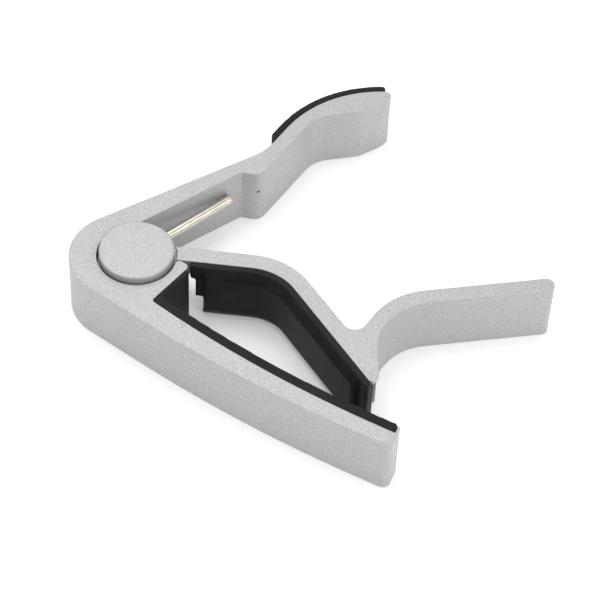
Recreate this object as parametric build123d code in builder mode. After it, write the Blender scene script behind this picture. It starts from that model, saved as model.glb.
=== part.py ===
from build123d import *
import os
from math import cos, radians, sin

# Spring trigger capo, millimetres. It lies on its side, as on a table.
# Origin: on the pivot axis, in the plane the capo lies on. +Z: along the pivot axis, up.
# +X: along the string bar, from the pivot to the bar's tip. +Y: from the bar to the two handles.
#
# Every straight run of an outline is a line (angle, offset): its direction in degrees from +X,
# and its distance from the pivot axis, positive to the left of that direction.

WIDTH = 14.0

# Boss and pivot stack
CAVITY_R = 8.15
EAR_R = 7.85
BOSS_R = 11.0
FLOOR_TOP = 4.0
EAR_BOTTOM = 10.1
EAR_TOP = 12.6
PIN_R = 1.75
BUSH_BORE_R = 1.8
BUSH_R = 2.2
AXIAL_PLAY = 0.05
WASHER_T = 0.4
RIVET_RECESS_R = 3.9
RIVET_RECESS_DEPTH = 1.8
RETAINING_WASHER_T = 0.7
RETAINING_WASHER_R = 3.6
RIVET_TAIL_R = 2.8
RIVET_TAIL_EDGE_R = 0.5
WASHER_R = 5.2
CAP_R = 7.65
CAP_BOTTOM = 13.05
CAP_TOP = 15.5
CAP_BORE_DEPTH = 1.2
CAP_EDGE_R = 0.4

# Frame outline
BAR_ROOT = (-3.8, -12.67)
BAR_TIP = (5.9, -18.67)
BAR_BOW_R = 300.0
BAR_END = (102.0, -63.75)
BAR_CORNER_R = 1.5
LIP_T = 0.45
LIP_HEIGHT = 1.7
LIP_EDGE_R = 0.2
SEAT_ROOT = (-6.5, -7.02)
SEAT_TIP = (5.7, -15.09)
SEAT_BOW_R = 250.0
JAW_WALL = (85.05, -10.17)
JAW_CORNER_R = 0.8
FINGER_TOP = (0.0, 3.6)
FINGER_R = 1.0
FINGER_BACK_R = 0.8
ARM_OUTER = (64.13, 12.33)
ARM_INNER = (68.9, 6.92)
ARM_BEND_R = 11.0
ARM_INNER_START = 3.8
INSIDE_CAVITY_X = 6.4
GRIP_OUTER = (90.0, -5.15)
GRIP_RUN = (35.1, 46.5)
GRIP_BOW_R = 25.0
HANDLE_TOP = (-3.0, 69.3)
HANDLE_END_HIGH = (83.4, -10.29)
HANDLE_END_LOW = (64.6, 11.92)
HANDLE_FLARE = (44.3, 32.4)
HANDLE_INNER = (90.0, -8.35)
KNUCKLE = (21.9, 27.0)
KNUCKLE_R = 2.6
HANDLE_EDGE_R = 0.3
HANDLE_TIP_R = 0.8
HANDLE_END_R = 6.0
HANDLE_FLARE_R = 4.0
HANDLE_BEND_R = 7.0
POCKET_END_R = 0.8
KNUCKLE_HOLE_MOUTH = (8.3, 32.2, 8.5)
KNUCKLE_HOLE_ANGLE = -34.0
KNUCKLE_HOLE_R = 0.35
KNUCKLE_HOLE_DEPTH = 2.0
CAST_EDGE_R = 0.15

# Clamp lever outline
LEVER_T = 3.45
TRIGGER_T = 3.2
LEVER_ROOT = (26.85, -0.28)
LEVER_TIP = (-24.4, 22.45)
CRADLE_R = 11.4
TRIGGER_NECK_X = 47.72
TRIGGER_INNER_X = 51.0
TRIGGER_OUTER = (42.1, -16.64)
TRIGGER_BOW_R = 15.0
TRIGGER_CORNER_R = 1.4
TRIGGER_END = (132.1, -82.2)
THROAT = (-56.6, 48.1)
THROAT_R = 10.0
VALLEY_R = 2.45
LEVER_END_X = 56.7
LEVER_END_R = 1.0
LEVER_TIP_R = 0.8
INSIDE_EAR = 5.0
TIP_RELIEF = [(53.5, 4.9), (55.9, -0.6), (55.9, -3.0), (58.0, -3.0), (58.0, 4.9)]
TIP_FLANGE_BOTTOM = 13.0
TAB_R = 12.2
STEP_R = 13.8
STEP_BOTTOM = 5.0

# Rubber parts
STRING_PAD_T = 2.2
STRING_PAD_END_R = 0.9
STRING_PAD_ROOT_R = 0.8
FLANGE_T = 1.05
FLANGE_TOP = (0.0, 2.4)
FLANGE_EDGE_R = 0.5
GRIP_T = 1.6
GRIP_START_Y = 41.4
GRIP_RAMP = 2.2
GRIP_RAMP_R = 0.8
GRIP_END_R = 0.7
GRIP_CUT = (125.1, -52.9)
LINER_T = 1.4
CUSHION_T = 2.6
CUSHION_BEVEL_Z = 2.2
CUSHION_END_BEVEL = 1.2
NECK_PAD_START = 11.0
CUSHION_START = 12.8
NECK_PAD_END_X = 56.5
WRAP_Y = 0.1
PAD_EDGE_R = 0.3
SURFACE_EDGE_R = 0.5
CUSHION_SINK = 0.05
CUSHION_END_X = 54.5

# Torsion spring
WIRE_R = 1.0
COIL_R = 3.5
COIL_PITCH = 2.05
FRAME_LEG_Z = 9.05
FRAME_LEG_ANGLE = 73.7
FRAME_LEG_LENGTH = 27.4
LEVER_LEG_ANGLE = 22.4
LEVER_LEG_LENGTH = 12.8
HOOK_R = 2.0
HOOK_START = 62.5


def corner(line_a, line_b):
    """Point where two lines, each (angle, offset), cross."""
    angle_a, offset_a = radians(line_a[0]), line_a[1]
    angle_b, offset_b = radians(line_b[0]), line_b[1]
    spread = sin(angle_b - angle_a)
    x = (offset_a * cos(angle_b) - offset_b * cos(angle_a)) / spread
    y = (offset_a * sin(angle_b) - offset_b * sin(angle_a)) / spread
    return (x, y)


def shifted(line, distance):
    """The parallel line that lies further left by distance."""
    return (line[0], line[1] + distance)


def along(line, distance):
    """Point on a line, at a distance along it from the foot of the pivot axis."""
    angle = radians(line[0])
    x = distance * cos(angle) - line[1] * sin(angle)
    y = distance * sin(angle) + line[1] * cos(angle)
    return (x, y)


def outline(corners):
    """Closed loop of edges through corners, each (point, corner radius)."""
    points = [point for point, _ in corners]
    radii = [radius for _, radius in corners]
    with BuildLine() as loop:
        FilletPolyline(*points, radius=radii, close=True)
    return loop.edges()


os.makedirs("parts", exist_ok=True)

# Frame: string bar, boss round the pivot and fixed handle, one casting open towards the lever
lip_inner = shifted(BAR_END, LIP_T)
lip_top = shifted(SEAT_TIP, LIP_HEIGHT)
with BuildPart() as frame:
    with BuildSketch():
        make_face(outline([
            (corner(BAR_END, BAR_TIP), BAR_CORNER_R),
            (corner(BAR_TIP, BAR_ROOT), BAR_BOW_R),
            (corner(BAR_ROOT, ARM_OUTER), BOSS_R),
            (corner(ARM_OUTER, GRIP_OUTER), ARM_BEND_R),
            (corner(GRIP_OUTER, GRIP_RUN), GRIP_BOW_R),
            (corner(GRIP_RUN, HANDLE_TOP), HANDLE_EDGE_R),
            (corner(HANDLE_TOP, HANDLE_END_HIGH), HANDLE_TIP_R),
            (corner(HANDLE_END_HIGH, HANDLE_END_LOW), HANDLE_END_R),
            (corner(HANDLE_END_LOW, HANDLE_FLARE), HANDLE_FLARE_R),
            (corner(HANDLE_FLARE, HANDLE_INNER), HANDLE_BEND_R),
            (corner(HANDLE_INNER, KNUCKLE), KNUCKLE_R),
            (corner(KNUCKLE, ARM_INNER), POCKET_END_R),
            (along(ARM_INNER, ARM_INNER_START), 0),
            ((INSIDE_CAVITY_X, 0.0), 0),
            ((INSIDE_CAVITY_X, FINGER_TOP[1]), 0),
            (corner(FINGER_TOP, JAW_WALL), FINGER_R),
            (corner(JAW_WALL, SEAT_ROOT), JAW_CORNER_R),
            (corner(SEAT_ROOT, SEAT_TIP), SEAT_BOW_R),
            (corner(SEAT_TIP, lip_inner), 0),
            (corner(lip_top, lip_inner), LIP_EDGE_R),
            (corner(lip_top, BAR_END), LIP_EDGE_R),
        ]))
    extrude(amount=WIDTH)
    with BuildSketch():
        Circle(CAVITY_R)
    extrude(amount=WIDTH, mode=Mode.SUBTRACT)
    finger_back = (CAVITY_R, FINGER_TOP[1], WIDTH / 2)
    fillet(frame.edges().filter_by(Axis.Z).sort_by_distance(finger_back)[0], FINGER_BACK_R)
    with BuildSketch():
        Circle(CAVITY_R)
    extrude(amount=FLOOR_TOP)
    with Locations(Plane.XY.rotated((180, 0, 0))):
        CounterBoreHole(PIN_R, RIVET_RECESS_R, RIVET_RECESS_DEPTH, depth=FLOOR_TOP)
    knuckle_direction = radians(KNUCKLE_HOLE_ANGLE)
    knuckle_out = (cos(knuckle_direction), sin(knuckle_direction), 0)
    with Locations(Plane(origin=KNUCKLE_HOLE_MOUTH, z_dir=knuckle_out)):
        Hole(KNUCKLE_HOLE_R, depth=KNUCKLE_HOLE_DEPTH)
    straight = frame.edges().filter_by(GeomType.LINE).filter_by(Axis.Z, reverse=True)
    fillet(straight.sort_by(SortBy.LENGTH)[-2:], CAST_EDGE_R)
frame.part.label = "frame"
export_step(frame.part, "parts/frame.step")

# Clamp lever: cradle for the neck, trigger, and a round ear that turns on the pivot
with BuildPart() as clamp_lever:
    with BuildSketch():
        back_root = shifted(LEVER_ROOT, LEVER_T)
        back_tip = shifted(LEVER_TIP, LEVER_T)
        trigger_inner = shifted(TRIGGER_OUTER, -TRIGGER_T)
        neck_line = (90.0, -TRIGGER_NECK_X)
        inner_line = (90.0, -TRIGGER_INNER_X)
        end_line = (90.0, -LEVER_END_X)
        make_face(outline([
            (along(back_root, INSIDE_EAR), 0),
            (corner(back_root, back_tip), CRADLE_R + LEVER_T),
            (corner(back_tip, neck_line), VALLEY_R),
            (corner(neck_line, TRIGGER_OUTER), TRIGGER_BOW_R),
            (corner(TRIGGER_OUTER, TRIGGER_END), TRIGGER_CORNER_R),
            (corner(TRIGGER_END, trigger_inner), TRIGGER_CORNER_R),
            (corner(trigger_inner, inner_line), TRIGGER_BOW_R - TRIGGER_T),
            (corner(inner_line, THROAT), THROAT_R),
            (corner(THROAT, end_line), LEVER_END_R),
            (corner(end_line, LEVER_TIP), LEVER_TIP_R),
            (corner(LEVER_TIP, LEVER_ROOT), CRADLE_R),
            (along(LEVER_ROOT, INSIDE_EAR), 0),
        ]))
    extrude(amount=WIDTH)
    with BuildSketch():
        Circle(TAB_R)
    extrude(amount=EAR_BOTTOM, mode=Mode.SUBTRACT)
    with BuildSketch():
        Circle(STEP_R)
    extrude(amount=STEP_BOTTOM, mode=Mode.SUBTRACT)
    with BuildSketch(Plane.XY.offset(EAR_TOP)):
        Circle(CAVITY_R)
    extrude(amount=WIDTH, mode=Mode.SUBTRACT)
    with BuildSketch(Plane.XY.offset(EAR_BOTTOM)):
        Circle(EAR_R)
    extrude(amount=EAR_TOP - EAR_BOTTOM)
    with BuildSketch(Plane.XY.offset(EAR_BOTTOM)):
        Circle(BUSH_R)
    extrude(amount=EAR_TOP - EAR_BOTTOM, mode=Mode.SUBTRACT)
    straight = clamp_lever.edges().filter_by(GeomType.LINE).filter_by(Axis.Z, reverse=True)
    fillet(straight.sort_by(SortBy.LENGTH)[-2:], CAST_EDGE_R)
    with BuildSketch():
        make_face(outline([(point, 0) for point in TIP_RELIEF]))
    extrude(amount=TIP_FLANGE_BOTTOM, mode=Mode.SUBTRACT)
clamp_lever.part.label = "clamp_lever"
export_step(clamp_lever.part, "parts/clamp_lever.step")

# String pad: rubber strip on the bar, its root turned up the jaw wall
with BuildPart() as string_pad:
    with BuildSketch():
        contact_root = shifted(SEAT_ROOT, STRING_PAD_T)
        contact_tip = shifted(SEAT_TIP, STRING_PAD_T)
        flange_face = shifted(JAW_WALL, -FLANGE_T)
        make_face(outline([
            (corner(JAW_WALL, SEAT_ROOT), JAW_CORNER_R),
            (corner(SEAT_ROOT, SEAT_TIP), SEAT_BOW_R),
            (corner(SEAT_TIP, lip_inner), 0),
            (corner(lip_inner, contact_tip), STRING_PAD_END_R),
            (corner(contact_tip, contact_root), SEAT_BOW_R - STRING_PAD_T),
            (corner(contact_root, flange_face), STRING_PAD_ROOT_R),
            (corner(flange_face, FLANGE_TOP), FLANGE_EDGE_R),
            (corner(FLANGE_TOP, JAW_WALL), 0),
        ]))
    extrude(amount=WIDTH)
string_pad.part.label = "string_pad"
export_step(string_pad.part, "parts/string_pad.step")

# Handle grip: rubber strip round the outside of the fixed handle
with BuildPart() as handle_grip:
    with BuildSketch():
        grip_face = shifted(GRIP_OUTER, GRIP_T)
        grip_run = shifted(GRIP_RUN, GRIP_T)
        make_face(outline([
            ((-GRIP_OUTER[1], GRIP_START_Y), 0),
            ((-grip_face[1], GRIP_START_Y + GRIP_RAMP), GRIP_RAMP_R),
            (corner(grip_face, grip_run), GRIP_BOW_R + GRIP_T),
            (corner(grip_run, GRIP_CUT), GRIP_END_R),
            (corner(GRIP_CUT, GRIP_RUN), 0),
            (corner(GRIP_RUN, GRIP_OUTER), GRIP_BOW_R),
        ]))
    extrude(amount=WIDTH)
handle_grip.part.label = "handle_grip"
export_step(handle_grip.part, "parts/handle_grip.step")


def pad_section(z, thickness, start, end_x):
    """Face at height z from the lever's front to the pad's surface, between two ends."""
    surface_root = shifted(LEVER_ROOT, -thickness)
    surface_tip = shifted(LEVER_TIP, -thickness)
    pad_end = (90.0, -end_x)
    loop = outline([
        (along(LEVER_ROOT, start), 0),
        (corner(LEVER_ROOT, LEVER_TIP), CRADLE_R),
        (corner(LEVER_TIP, pad_end), 0),
        (corner(pad_end, surface_tip), SURFACE_EDGE_R),
        (corner(surface_tip, surface_root), CRADLE_R - thickness),
        (along(surface_root, start), SURFACE_EDGE_R),
    ])
    with BuildSketch(Plane.XY.offset(z)) as section:
        make_face(loop)
    return section.sketch


# Neck pad: rubber liner over the lever's whole front, with a raised cushion bevelled all round
relief_end = (90.0, -TIP_RELIEF[1][0])
wrap_face = (90.0, -NECK_PAD_END_X)
with BuildPart() as neck_pad:
    add(pad_section(0, LINER_T, NECK_PAD_START, NECK_PAD_END_X))
    extrude(amount=WIDTH)
    crown_start = CUSHION_START + CUSHION_END_BEVEL
    crown_end = CUSHION_END_X - CUSHION_END_BEVEL
    cushion_foot_t = LINER_T - CUSHION_SINK
    loft([
        pad_section(0, cushion_foot_t, CUSHION_START, CUSHION_END_X),
        pad_section(CUSHION_BEVEL_Z, CUSHION_T, crown_start, crown_end),
        pad_section(WIDTH - CUSHION_BEVEL_Z, CUSHION_T, crown_start, crown_end),
        pad_section(WIDTH, cushion_foot_t, CUSHION_START, CUSHION_END_X),
    ], ruled=True)
    with BuildSketch():
        make_face(outline([
            (corner(LEVER_TIP, relief_end), 0),
            (corner(LEVER_TIP, wrap_face), 0),
            ((NECK_PAD_END_X, WRAP_Y), PAD_EDGE_R),
            ((TIP_RELIEF[1][0], WRAP_Y + PAD_EDGE_R), 0),
        ]))
    extrude(amount=TIP_FLANGE_BOTTOM)
    with BuildSketch():
        Circle(TAB_R)
    extrude(amount=EAR_BOTTOM, mode=Mode.SUBTRACT)
    with BuildSketch():
        Circle(STEP_R)
    extrude(amount=STEP_BOTTOM, mode=Mode.SUBTRACT)
neck_pad.part.label = "neck_pad"
export_step(neck_pad.part, "parts/neck_pad.step")


def ring_sketch(z, outer, inner):
    """Flat ring round the pivot axis at height z."""
    with BuildSketch(Plane.XY.offset(z)) as ring:
        Circle(outer)
        Circle(inner, mode=Mode.SUBTRACT)
    return ring.sketch


# Retaining washer: under the pin's riveted tail, in the frame's underside recess
retaining_bottom = RIVET_RECESS_DEPTH - RETAINING_WASHER_T
with BuildPart() as retaining_washer:
    add(ring_sketch(retaining_bottom, RETAINING_WASHER_R, PIN_R))
    extrude(amount=RETAINING_WASHER_T)
retaining_washer.part.label = "retaining_washer"
export_step(retaining_washer.part, "parts/retaining_washer.step")

# Pivot pin: shank with a riveted tail below, its flat end in the plane the capo lies on
with BuildPart() as pivot_pin:
    with BuildSketch():
        Circle(RIVET_TAIL_R)
    extrude(amount=retaining_bottom)
    fillet(pivot_pin.faces().sort_by(Axis.Z)[0].edges(), RIVET_TAIL_EDGE_R)
    with BuildSketch(Plane.XY.offset(retaining_bottom)):
        Circle(PIN_R)
    extrude(amount=CAP_BOTTOM + CAP_BORE_DEPTH - retaining_bottom)
pivot_pin.part.label = "pivot_pin"
export_step(pivot_pin.part, "parts/pivot_pin.step")

# Pivot cap: disc pressed on the pin's top end
with BuildPart() as pivot_cap:
    with BuildSketch(Plane.XY.offset(CAP_BOTTOM)):
        Circle(CAP_R)
    extrude(amount=CAP_TOP - CAP_BOTTOM)
    fillet(pivot_cap.faces().sort_by(Axis.Z)[-1].edges(), CAP_EDGE_R)
    with BuildSketch(Plane.XY.offset(CAP_BOTTOM)):
        Circle(PIN_R)
    extrude(amount=CAP_BORE_DEPTH, mode=Mode.SUBTRACT)
pivot_cap.part.label = "pivot_cap"
export_step(pivot_cap.part, "parts/pivot_cap.step")

# Lower washer: between the frame's floor and the coil and bush
with BuildPart() as lower_washer:
    add(ring_sketch(FLOOR_TOP, WASHER_R, BUSH_BORE_R))
    extrude(amount=WASHER_T)
lower_washer.part.label = "lower_washer"
export_step(lower_washer.part, "parts/lower_washer.step")

# Upper washer: between the lever's ear and the cap
with BuildPart() as upper_washer:
    add(ring_sketch(EAR_TOP, WASHER_R, BUSH_BORE_R))
    extrude(amount=CAP_BOTTOM - AXIAL_PLAY - EAR_TOP)
upper_washer.part.label = "upper_washer"
export_step(upper_washer.part, "parts/upper_washer.step")

# Hub bush: plastic sleeve pressed in the lever's ear, turning on the pin inside the coil
bush_bottom = FLOOR_TOP + WASHER_T + AXIAL_PLAY
with BuildPart() as hub_bush:
    add(ring_sketch(bush_bottom, BUSH_R, BUSH_BORE_R))
    extrude(amount=EAR_TOP - bush_bottom)
hub_bush.part.label = "hub_bush"
export_step(hub_bush.part, "parts/hub_bush.step")

# Torsion spring: one leg along the handle's inner wall, a coil round the pivot, then a hook and
# a second leg along the back of the lever. The coil runs down from the frame's leg to the lever's.
frame_leg_side = FRAME_LEG_ANGLE + 90
coil_turns = 2 - (frame_leg_side - HOOK_START) / 360
coil_height = coil_turns * COIL_PITCH
lever_leg_z = FRAME_LEG_Z - coil_height
hook_side = radians(HOOK_START)
leg_side = radians(frame_leg_side)
leg_direction = radians(FRAME_LEG_ANGLE)
coil_top = Vector(COIL_R * cos(leg_side), COIL_R * sin(leg_side), FRAME_LEG_Z)
leg_tip = coil_top + Vector(cos(leg_direction), sin(leg_direction)) * FRAME_LEG_LENGTH
hook_foot = Vector(COIL_R * cos(hook_side), COIL_R * sin(hook_side), lever_leg_z)
hook_centre = hook_foot * ((COIL_R + HOOK_R) / COIL_R)
hook_centre.Z = lever_leg_z
lever_leg_line = (LEVER_LEG_ANGLE, HOOK_R)
lever_leg_root = hook_centre + Vector(along(lever_leg_line, 0))
lever_leg_tip = hook_centre + Vector(along(lever_leg_line, LEVER_LEG_LENGTH))
with BuildPart() as torsion_spring:
    with BuildLine() as frame_leg:
        Line(leg_tip, coil_top)
    with BuildSketch(frame_leg.line ^ 0):
        Circle(WIRE_R)
    sweep(path=frame_leg.line)
    with BuildLine() as coil:
        turns = Helix(COIL_PITCH, coil_height, COIL_R, lefthand=True, mode=Mode.PRIVATE)
        add(turns.moved(Location((0, 0, lever_leg_z), (0, 0, HOOK_START))))
    with BuildSketch(coil.line ^ 0):
        Circle(WIRE_R)
    sweep(path=coil.line, is_frenet=True)
    with BuildLine() as lever_leg:
        CenterArc(hook_centre, HOOK_R, HOOK_START + 180, LEVER_LEG_ANGLE - HOOK_START - 90)
        Line(lever_leg_root, lever_leg_tip)
    with BuildSketch(lever_leg.line ^ 0):
        Circle(WIRE_R)
    sweep(path=lever_leg.line)
torsion_spring.part.label = "torsion_spring"
export_step(torsion_spring.part, "parts/torsion_spring.step")
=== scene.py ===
import math

import bmesh
import bpy
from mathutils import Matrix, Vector, noise


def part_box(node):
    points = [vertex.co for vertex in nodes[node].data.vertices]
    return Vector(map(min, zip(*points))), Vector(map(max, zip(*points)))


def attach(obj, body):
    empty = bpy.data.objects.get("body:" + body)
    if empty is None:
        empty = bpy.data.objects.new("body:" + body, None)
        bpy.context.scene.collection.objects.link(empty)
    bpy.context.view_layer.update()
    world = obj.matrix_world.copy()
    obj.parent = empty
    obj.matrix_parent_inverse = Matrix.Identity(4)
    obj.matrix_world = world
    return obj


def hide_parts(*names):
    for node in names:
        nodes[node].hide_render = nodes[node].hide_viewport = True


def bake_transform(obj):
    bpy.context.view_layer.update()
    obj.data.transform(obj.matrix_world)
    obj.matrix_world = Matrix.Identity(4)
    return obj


MM = 0.001
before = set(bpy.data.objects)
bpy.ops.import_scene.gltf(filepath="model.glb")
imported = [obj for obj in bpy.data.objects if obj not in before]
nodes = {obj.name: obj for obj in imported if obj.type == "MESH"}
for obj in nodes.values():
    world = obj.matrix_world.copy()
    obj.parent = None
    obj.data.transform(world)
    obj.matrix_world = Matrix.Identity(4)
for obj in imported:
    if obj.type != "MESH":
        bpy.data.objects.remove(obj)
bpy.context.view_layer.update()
scene = bpy.context.scene


# ---------------------------------------------------------------- materials

class Tree:
    """A material with one Principled shader and short calls for adding nodes to it."""

    def __init__(self, name, **sockets):
        self.material = bpy.data.materials.new(name)
        self.material.use_nodes = True
        self.tree = self.material.node_tree
        self.shader = self.tree.nodes["Principled BSDF"]
        for key, value in sockets.items():
            self.shader.inputs[key.replace("_", " ")].default_value = value
        self.position = self.add("ShaderNodeTexCoord").outputs["Object"]

    def add(self, kind, **settings):
        node = self.tree.nodes.new(kind)
        for key, value in settings.items():
            setattr(node, key, value)
        return node

    def link(self, source, target):
        self.tree.links.new(source, target)

    def put(self, node, key, value):
        if isinstance(value, bpy.types.NodeSocket):
            self.link(value, node.inputs[key])
        else:
            node.inputs[key].default_value = value

    def noise(self, size, detail=2.0, rough=0.5, where=None):
        """Noise from 0 to 1 whose lumps are about size metres across."""
        node = self.add("ShaderNodeTexNoise")
        self.link(where or self.position, node.inputs["Vector"])
        self.put(node, "Scale", 1.0 / size)
        self.put(node, "Detail", detail)
        self.put(node, "Roughness", rough)
        return node.outputs["Fac"]

    def cells(self, size, where=None):
        """Distance to the nearest of points about size metres apart, in cell widths."""
        node = self.add("ShaderNodeTexVoronoi")
        self.link(where or self.position, node.inputs["Vector"])
        self.put(node, "Scale", 1.0 / size)
        return node.outputs["Distance"]

    def stretched(self, factors, where=None):
        node = self.add("ShaderNodeMapping")
        self.link(where or self.position, node.inputs["Vector"])
        node.inputs["Scale"].default_value = factors
        return node.outputs["Vector"]

    def map(self, value, low, high, to_low=0.0, to_high=1.0):
        node = self.add("ShaderNodeMapRange")
        node.clamp = True
        self.link(value, node.inputs["Value"])
        for key, number in (("From Min", low), ("From Max", high),
                            ("To Min", to_low), ("To Max", to_high)):
            node.inputs[key].default_value = number
        return node.outputs["Result"]

    def math(self, operation, a, b):
        node = self.add("ShaderNodeMath", operation=operation)
        self.put(node, 0, a)
        self.put(node, 1, b)
        return node.outputs["Value"]

    def mix(self, factor, a, b):
        node = self.add("ShaderNodeMix", data_type="RGBA")
        self.put(node, 0, factor)
        self.put(node, 6, a)
        self.put(node, 7, b)
        return node.outputs[2]

    def edge_mask(self, radius):
        """1 where a convex or concave edge is closer than about radius metres, 0 elsewhere."""
        bevel = self.add("ShaderNodeBevel", samples=4)
        bevel.inputs["Radius"].default_value = radius
        geometry = self.add("ShaderNodeNewGeometry")
        dot = self.add("ShaderNodeVectorMath", operation="DOT_PRODUCT")
        self.link(bevel.outputs["Normal"], dot.inputs[0])
        self.link(geometry.outputs["Normal"], dot.inputs[1])
        return self.map(dot.outputs["Value"], 0.995, 0.85)

    def bump(self, height, depth, soft_edge=0.0):
        """Bump of depth metres, over edges that look rounded by soft_edge metres."""
        node = self.add("ShaderNodeBump")
        self.link(height, node.inputs["Height"])
        node.inputs["Distance"].default_value = depth
        node.inputs["Strength"].default_value = 1.0
        if soft_edge:
            bevel = self.add("ShaderNodeBevel", samples=4)
            bevel.inputs["Radius"].default_value = soft_edge
            self.link(bevel.outputs["Normal"], node.inputs["Normal"])
        self.link(node.outputs["Normal"], self.shader.inputs["Normal"])

    def colour(self, value):
        self.link(value, self.shader.inputs["Base Color"])

    def roughness(self, value):
        self.link(value, self.shader.inputs["Roughness"])


def painted_silver(name, tone, grain_size, grain_depth):
    """Silver metallic paint on a casting: fine grain, tiny flakes, faint clouds, pits darkened with painted
    shade, rubbed edges.
    """
    t = Tree(name, Metallic=0.42, Specular_IOR_Level=0.45)
    grain = t.noise(grain_size, 3.0, 0.65)
    clouds = t.noise(6 * MM, 3.0, 0.5)
    flakes = t.map(t.cells(grain_size * 1.4), 0.20, 0.05)
    light = (tone * 1.0, tone * 1.0, tone * 0.99, 1)
    dark = (tone * 0.66, tone * 0.66, tone * 0.665, 1)
    body = t.mix(t.map(grain, 0.32, 0.68), dark, light)
    body = t.mix(t.map(clouds, 0.35, 0.65, 0.0, 0.22), body, (tone * 0.86, tone * 0.87, tone * 0.9, 1))
    body = t.mix(t.math("MULTIPLY", flakes, 0.6), body, (0.90, 0.91, 0.93, 1))
    # Tiny pits: the bump below dents them, and their colour is darkened as painted shade inside them.
    pits_and_painted_shade = t.map(t.cells(2.3 * MM), 0.055, 0.03)
    body = t.mix(t.math("MULTIPLY", pits_and_painted_shade, 0.5), body, (tone * 0.45, tone * 0.45, tone * 0.47, 1))
    edge = t.edge_mask(0.22 * MM)
    nicks = t.math("MULTIPLY", edge, t.map(t.noise(0.9 * MM, 3.0, 0.7), 0.42, 0.62, 0.15, 1.0))
    body = t.mix(t.math("MULTIPLY", nicks, 0.55), body, (0.88, 0.89, 0.91, 1))
    t.colour(body)
    t.roughness(t.map(grain, 0.3, 0.7, 0.50, 0.36))
    height = t.math("SUBTRACT", t.math("ADD", grain, t.math("MULTIPLY", clouds, 0.6)),
                    t.math("MULTIPLY", pits_and_painted_shade, 1.5))
    t.bump(height, grain_depth, soft_edge=0.25 * MM)
    return t.material


def nickel_wire(name):
    """Nickel-plated spring wire with drawing lines along it and a few dull spots."""
    t = Tree(name, Metallic=1.0)
    uv = t.add("ShaderNodeUVMap", uv_map="wire").outputs["UV"]
    lines = t.noise(1.0, 4.0, 0.6, where=t.stretched((0.35, 26.0, 1.0), uv))
    stain = t.noise(1.1 * MM, 4.0, 0.6)
    body = t.mix(t.map(lines, 0.35, 0.65), (0.50, 0.46, 0.38, 1), (0.72, 0.68, 0.59, 1))
    body = t.mix(t.map(stain, 0.58, 0.72, 0.0, 0.4), body, (0.40, 0.36, 0.31, 1))
    t.colour(body)
    t.roughness(t.map(lines, 0.3, 0.7, 0.30, 0.17))
    t.bump(lines, 0.006 * MM)
    return t.material


def turned_steel(name):
    """Zinc-plated steel with turning rings round the pivot axis, scratches and spots."""
    t = Tree(name, Metallic=1.0)
    rings = t.add("ShaderNodeTexWave", wave_type="RINGS", rings_direction="Z")
    t.link(t.position, rings.inputs["Vector"])
    rings.inputs["Scale"].default_value = 900.0
    rings.inputs["Distortion"].default_value = 1.5
    spots = t.noise(0.8 * MM, 4.0, 0.6)
    body = t.mix(rings.outputs["Fac"], (0.48, 0.48, 0.47, 1), (0.64, 0.64, 0.63, 1))
    body = t.mix(t.map(spots, 0.55, 0.7, 0.0, 0.35), body, (0.30, 0.29, 0.27, 1))
    t.colour(body)
    t.roughness(t.map(spots, 0.3, 0.7, 0.28, 0.48))
    t.bump(t.math("ADD", rings.outputs["Fac"], spots), 0.012 * MM, soft_edge=0.08 * MM)
    return t.material


def moulded_nylon(name):
    """Milky nylon with a fine moulded skin."""
    t = Tree(name, Subsurface_Weight=0.25, Subsurface_Scale=0.0008, Specular_IOR_Level=0.4)
    skin = t.noise(0.25 * MM, 3.0, 0.6)
    tint = t.noise(2.5 * MM, 2.0, 0.5)
    t.colour(t.mix(t.map(tint, 0.3, 0.7), (0.74, 0.71, 0.63, 1), (0.82, 0.80, 0.73, 1)))
    t.roughness(t.map(skin, 0.3, 0.7, 0.34, 0.5))
    t.bump(skin, 0.01 * MM, soft_edge=0.08 * MM)
    return t.material


def matt_rubber(name):
    """Black moulded rubber: satin skin, fine pebble, paler rubbed edges, a little dust."""
    t = Tree(name, Specular_IOR_Level=0.2, Sheen_Weight=0.03, Sheen_Roughness=0.5)
    pebble = t.noise(0.22 * MM, 3.0, 0.6)
    clouds = t.noise(5 * MM, 3.0, 0.55)
    dust = t.map(t.cells(1.3 * MM), 0.06, 0.02)
    edge = t.edge_mask(0.35 * MM)
    body = t.mix(t.map(clouds, 0.35, 0.65), (0.0060, 0.0062, 0.0068, 1), (0.0115, 0.0112, 0.0110, 1))
    rubbed = t.math("MULTIPLY", edge, t.map(t.noise(0.7 * MM, 3.0, 0.6), 0.35, 0.65, 0.2, 1.0))
    body = t.mix(t.math("MULTIPLY", rubbed, 0.35), body, (0.055, 0.052, 0.050, 1))
    body = t.mix(t.math("MULTIPLY", dust, 0.3), body, (0.12, 0.115, 0.11, 1))
    t.colour(body)
    t.roughness(t.map(pebble, 0.3, 0.7, 0.52, 0.70))
    t.bump(t.math("ADD", pebble, t.math("MULTIPLY", clouds, 0.5)), 0.03 * MM)
    return t.material


def plain_floor(name):
    t = Tree(name, Roughness=0.9, Specular_IOR_Level=0.1, Emission_Strength=0.2)
    t.shader.inputs["Emission Color"].default_value = (1, 1, 1, 1)
    fine = t.noise(3 * MM, 2.0, 0.5)
    t.colour(t.mix(t.map(fine, 0.3, 0.7), (0.90, 0.90, 0.90, 1), (0.92, 0.92, 0.92, 1)))
    return t.material


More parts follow.
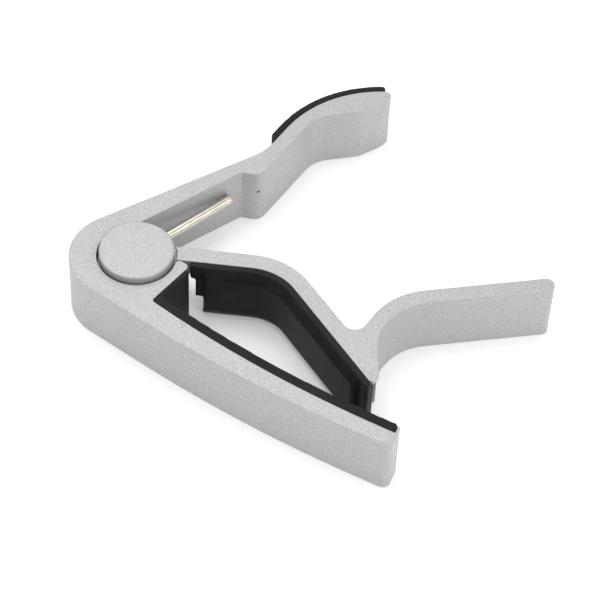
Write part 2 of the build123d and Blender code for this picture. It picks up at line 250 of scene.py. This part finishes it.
LOOKS = {
    "cast_silver": painted_silver("look_cast_silver", 0.51, 0.30 * MM, 0.045 * MM),
    "cap_silver": painted_silver("look_cap_silver", 0.52, 0.26 * MM, 0.035 * MM),
    "spring_nickel": nickel_wire("look_spring_nickel"),
    "pin_steel": turned_steel("look_pin_steel"),
    "bush_nylon": moulded_nylon("look_bush_nylon"),
    "pad_rubber": matt_rubber("look_pad_rubber"),
}
FINISHES = {
    "frame": "cast_silver",
    "clamp_lever": "cast_silver",
    "pivot_cap": "cap_silver",
    "pivot_pin": "pin_steel",
    "retaining_washer": "pin_steel",
    "lower_washer": "bush_nylon",
    "upper_washer": "bush_nylon",
    "hub_bush": "bush_nylon",
}


def finish_with(obj, slot_name):
    """Gives obj the one material made for the record's material slot of that name."""
    obj.data.materials.clear()
    obj.data.materials.append(LOOKS[slot_name])


for node_name, slot_name in FINISHES.items():
    finish_with(nodes[node_name], slot_name)


# ---------------------------------------------------------------- rubber parts

VOXEL = 0.24 * MM
SMOOTH_ROUNDS = 5
LUMP = 3.5 * MM
LUMP_HEIGHT = 0.035 * MM
LUMP_SINK = 0.6


def apply_modifiers(obj):
    """Puts the modifiers' result in obj's own mesh."""
    graph = bpy.context.evaluated_depsgraph_get()
    mesh = bpy.data.meshes.new_from_object(obj.evaluated_get(graph))
    obj.modifiers.clear()
    obj.data = mesh


def rubber_piece(node_name, name, body):
    """Soft moulded copy of a CAD rubber solid: rounded edges, slightly uneven faces."""
    source = nodes[node_name]
    low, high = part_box(node_name)
    obj = bpy.data.objects.new(name, source.data.copy())
    scene.collection.objects.link(obj)
    remesh = obj.modifiers.new("remesh", "REMESH")
    remesh.mode = "VOXEL"
    remesh.voxel_size = VOXEL
    smooth = obj.modifiers.new("smooth", "SMOOTH")
    smooth.factor = 0.5
    smooth.iterations = SMOOTH_ROUNDS
    apply_modifiers(obj)
    normals = [vertex.normal.copy() for vertex in obj.data.vertices]
    for vertex, normal in zip(obj.data.vertices, normals):
        push = noise.noise(vertex.co / LUMP) - LUMP_SINK
        moved = vertex.co + normal * (push * LUMP_HEIGHT)
        vertex.co = [min(max(value, a), b) for value, a, b in zip(moved, low, high)]
    for polygon in obj.data.polygons:
        polygon.use_smooth = True
    finish_with(obj, "pad_rubber")
    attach(obj, body)
    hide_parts(node_name)
    return obj


rubber_piece("string_pad", "string_pad_rubber", "frame")
rubber_piece("handle_grip", "handle_grip_rubber", "frame")
rubber_piece("neck_pad", "neck_pad_rubber", "clamp_lever")


# ---------------------------------------------------------------- torsion spring

WIRE_R = 1.0
COIL_R = 3.5
COIL_PITCH = 2.05
FRAME_LEG_Z = 9.05
FRAME_LEG_ANGLE = 73.7
FRAME_LEG_LENGTH = 27.4
LEVER_LEG_ANGLE = 22.4
LEVER_LEG_LENGTH = 12.8
HOOK_R = 2.0
HOOK_START = 62.5
WIRE_SIDES = 28
END_STEPS = 5
END_EDGE_R = 0.25
LEG_STEPS = 40
COIL_STEPS = 150
HOOK_STEPS = 26
CUT_FACE_UV_SCALE = 0.3


def turned(angle, radius, z):
    a = math.radians(angle)
    return Vector((radius * math.cos(a), radius * math.sin(a), z))


def spring_path():
    """Centreline in millimetres, from the frame leg's tip to the lever leg's tip."""
    start = FRAME_LEG_ANGLE + 90
    turns = 2 - (start - HOOK_START) / 360
    low_z = FRAME_LEG_Z - turns * COIL_PITCH
    top = turned(start, COIL_R, FRAME_LEG_Z)
    points = []
    for i in range(LEG_STEPS):
        points.append(top + turned(FRAME_LEG_ANGLE, FRAME_LEG_LENGTH * (1 - i / LEG_STEPS), 0))
    for i in range(COIL_STEPS):
        share = i / COIL_STEPS
        points.append(turned(start + 360 * turns * share, COIL_R, FRAME_LEG_Z - share * turns * COIL_PITCH))
    centre = turned(HOOK_START, COIL_R + HOOK_R, low_z)
    hook_turn = LEVER_LEG_ANGLE - HOOK_START - 90
    for i in range(HOOK_STEPS):
        points.append(centre + turned(HOOK_START + 180 + hook_turn * i / HOOK_STEPS, HOOK_R, 0))
    root = centre + turned(LEVER_LEG_ANGLE + 90, HOOK_R, 0)
    for i in range(LEG_STEPS // 2 + 1):
        points.append(root + turned(LEVER_LEG_ANGLE, LEVER_LEG_LENGTH * i / (LEG_STEPS // 2), 0))
    return points


def spring_mesh(name):
    """Round wire along the path, its two cut ends slightly rounded, with UVs along and round it."""
    path = spring_path()
    first = (path[1] - path[0]).normalized()
    last = (path[-1] - path[-2]).normalized()
    stations = [(path[0] + first * END_EDGE_R * (1 - math.cos(a)), WIRE_R - END_EDGE_R * (1 - math.sin(a)))
                for a in (math.pi / 2 * i / END_STEPS for i in range(END_STEPS))]
    stations += [(point, WIRE_R) for point in path[1:-1]]
    stations += [(path[-1] - last * END_EDGE_R * (1 - math.sin(a)), WIRE_R - END_EDGE_R * (1 - math.cos(a)))
                 for a in (math.pi / 2 * i / END_STEPS for i in range(END_STEPS + 1))]
    tangents = []
    for i in range(len(stations)):
        ahead = stations[min(i + 1, len(stations) - 1)][0]
        behind = stations[max(i - 1, 0)][0]
        tangents.append((ahead - behind).normalized())
    side = tangents[0].cross(Vector((0, 0, 1))).normalized()
    mesh = bmesh.new()
    uv = mesh.loops.layers.uv.new("wire")
    rings = []
    travelled = 0.0
    for i, (centre, radius) in enumerate(stations):
        side = (side - tangents[i] * side.dot(tangents[i])).normalized()
        up = tangents[i].cross(side)
        ring = []
        for k in range(WIRE_SIDES):
            a = 2 * math.pi * k / WIRE_SIDES
            ring.append(mesh.verts.new((centre + (side * math.cos(a) + up * math.sin(a)) * radius) * MM))
        if i:
            travelled += (centre - stations[i - 1][0]).length
        rings.append((ring, travelled))
    for (ring_a, at_a), (ring_b, at_b) in zip(rings, rings[1:]):
        for k in range(WIRE_SIDES):
            n = (k + 1) % WIRE_SIDES
            face = mesh.faces.new((ring_a[k], ring_a[n], ring_b[n], ring_b[k]))
            face.smooth = True
            corners = ((at_a, k), (at_a, k + 1), (at_b, k + 1), (at_b, k))
            for loop, (u, v) in zip(face.loops, corners):
                loop[uv].uv = (u, v / WIRE_SIDES)
    for ring, _ in (rings[0], rings[-1]):
        cap = mesh.faces.new(ring)
        for loop in cap.loops:
            loop[uv].uv = (loop.vert.co.x / MM * CUT_FACE_UV_SCALE, loop.vert.co.y / MM * CUT_FACE_UV_SCALE)
    bmesh.ops.recalc_face_normals(mesh, faces=mesh.faces)
    data = bpy.data.meshes.new(name)
    mesh.to_mesh(data)
    mesh.free()
    return data


spring = bpy.data.objects.new("spring_wire", spring_mesh("spring_wire"))
scene.collection.objects.link(spring)
finish_with(spring, "spring_nickel")
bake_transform(spring)
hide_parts("torsion_spring")


# ---------------------------------------------------------------- floor, light, camera

floor_mesh = bpy.data.meshes.new("floor")
FLOOR_HALF = 1.5
FLOOR_DROP = 0.02 * MM
floor_mesh.from_pydata([(x * FLOOR_HALF, y * FLOOR_HALF, 0) for x, y in ((-1, -1), (1, -1), (1, 1), (-1, 1))],
                       [], [(0, 1, 2, 3)])
floor = bpy.data.objects.new("floor", floor_mesh)
floor.location.z = -FLOOR_DROP
scene.collection.objects.link(floor)
floor.data.materials.append(plain_floor("floor_white"))

world = bpy.data.worlds.new("studio")
world.use_nodes = True
world.node_tree.nodes["Background"].inputs["Color"].default_value = (0.955, 0.975, 1.0, 1)
world.node_tree.nodes["Background"].inputs["Strength"].default_value = 0.86
scene.world = world
scene.view_settings.view_transform = "Standard"


def softbox(name, place, target, size, watts, tint):
    light = bpy.data.lights.new(name, "AREA")
    light.shape = "SQUARE"
    light.size = size
    light.energy = watts
    light.color = tint
    obj = bpy.data.objects.new(name, light)
    obj.location = place
    direction = Vector(target) - Vector(place)
    obj.rotation_euler = direction.to_track_quat("-Z", "Y").to_euler()
    scene.collection.objects.link(obj)


CENTRE = (0.03, 0.02, 0.0)
softbox("key_above", (-0.15, 0.10, 0.55), CENTRE, 0.45, 1.45, (1.0, 0.975, 0.92))
softbox("fill_right", (0.60, -0.05, 0.28), CENTRE, 0.50, 1.1, (0.97, 0.985, 1.0))

camera_data = bpy.data.cameras.new("camera")
camera_data.sensor_width = 36.0
camera_data.lens = 139.675
camera_data.clip_start = 0.01
camera_data.clip_end = 10.0
camera = bpy.data.objects.new("camera", camera_data)
camera.location = (0.187268, -0.247007, 0.367118)
camera.rotation_euler = [math.radians(a) for a in (40.1571, -1.9124, 33.2649)]
scene.collection.objects.link(camera)
scene.camera = camera

bpy.context.view_layer.update()
